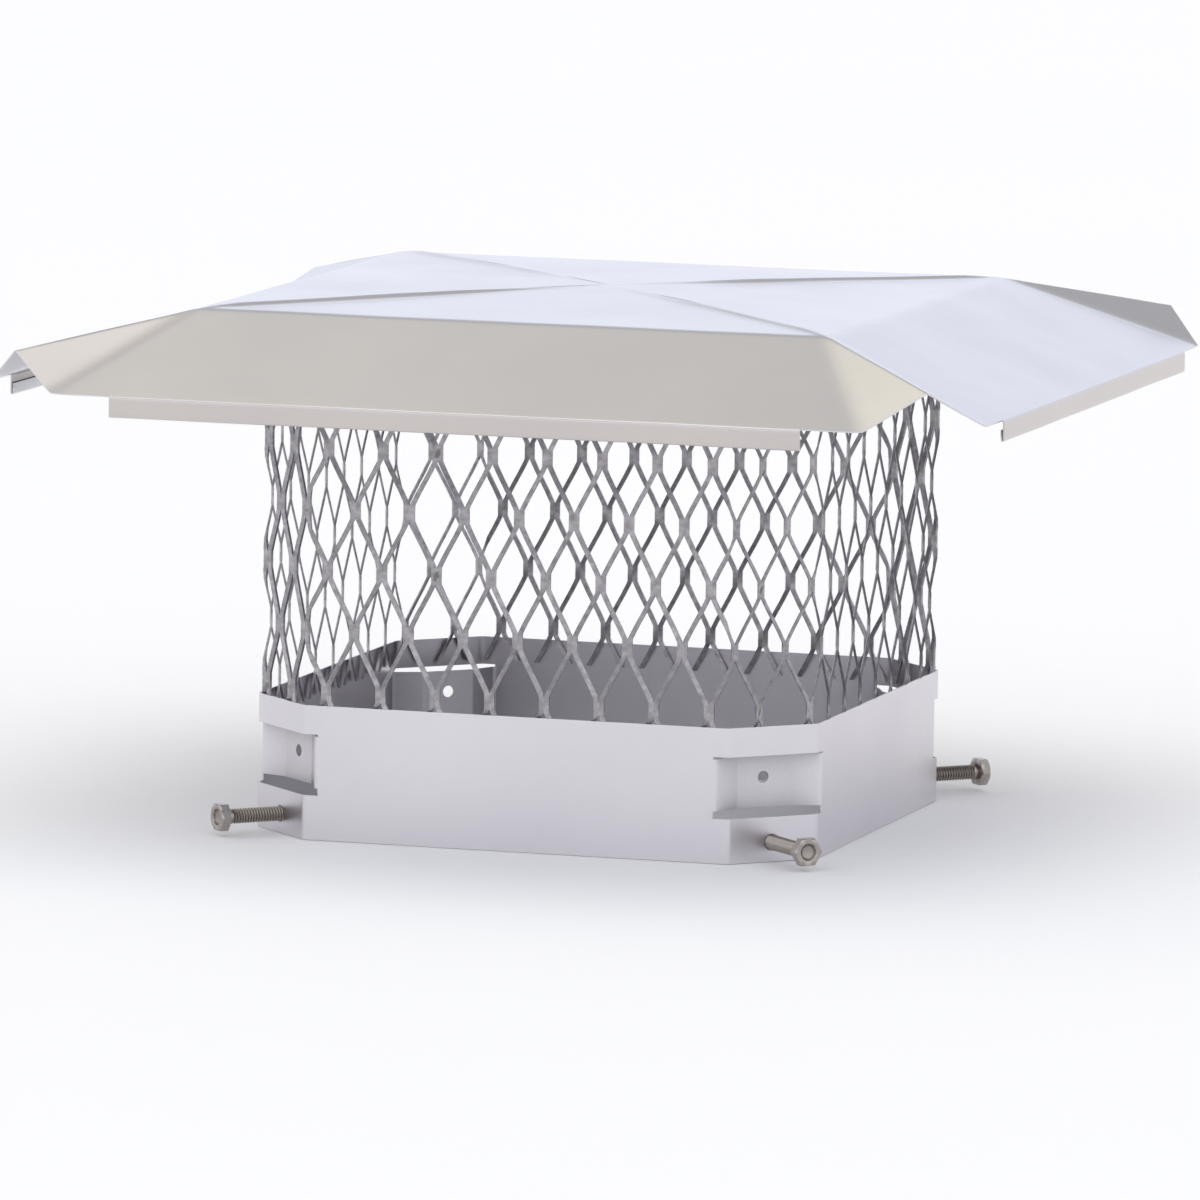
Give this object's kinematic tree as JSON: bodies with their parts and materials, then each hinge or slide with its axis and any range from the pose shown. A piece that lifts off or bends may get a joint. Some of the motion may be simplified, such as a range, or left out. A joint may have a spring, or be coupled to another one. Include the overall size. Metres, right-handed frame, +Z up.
{
  "type": "chimney cap",
  "caption": "Single-flue chimney cap: folded sheet lid with sloping flaps over an expanded-metal screen and a skirt with clamp bolts at its cut corners.",
  "frame": {"origin": "middle of the skirt's lower rim, on the cap's upright axis", "axes": "+Z up; +X to the right of the front face; the front face looks along -Y"},
  "size_m": [0.425, 0.425, 0.2237],
  "materials": {
    "lid_sheet": "bright mill-finished stainless sheet",
    "skirt_sheet": "bright mill-finished stainless sheet",
    "screen_strand": "expanded stainless strands",
    "bolt_steel": "dull stainless",
    "nut_steel": "dull stainless"
  },
  "bodies": {
    "cap": {"skirt": "skirt_sheet", "lid": "lid_sheet", "screen_front": "screen_strand", "screen_front_right": "screen_strand", "screen_right": "screen_strand", "screen_back_right": "screen_strand", "screen_back": "screen_strand", "screen_back_left": "screen_strand", "screen_left": "screen_strand", "screen_front_left": "screen_strand", "weld_nut_front_right": "nut_steel", "weld_nut_back_right": "nut_steel", "weld_nut_back_left": "nut_steel", "weld_nut_front_left": "nut_steel"},
    "bolt_front_right": {"clamp_bolt_front_right": "bolt_steel"},
    "bolt_back_right": {"clamp_bolt_back_right": "bolt_steel"},
    "bolt_back_left": {"clamp_bolt_back_left": "bolt_steel"},
    "bolt_front_left": {"clamp_bolt_front_left": "bolt_steel"}
  },
  "joints": [
    {"name": "clamp_front_right", "type": "slide", "parent": "cap", "child": "bolt_front_right", "axis": [-0.7071, 0.7071, 0], "range_m": [-0.0165, 0.0265]},
    {"name": "clamp_back_right", "type": "slide", "parent": "cap", "child": "bolt_back_right", "axis": [-0.7071, -0.7071, 0], "range_m": [-0.0125, 0.0305]},
    {"name": "clamp_back_left", "type": "slide", "parent": "cap", "child": "bolt_back_left", "axis": [0.7071, -0.7071, 0], "range_m": [-0.0145, 0.0285]},
    {"name": "clamp_front_left", "type": "slide", "parent": "cap", "child": "bolt_front_left", "axis": [0.7071, 0.7071, 0], "range_m": [-0.0185, 0.0245]}
  ]
}
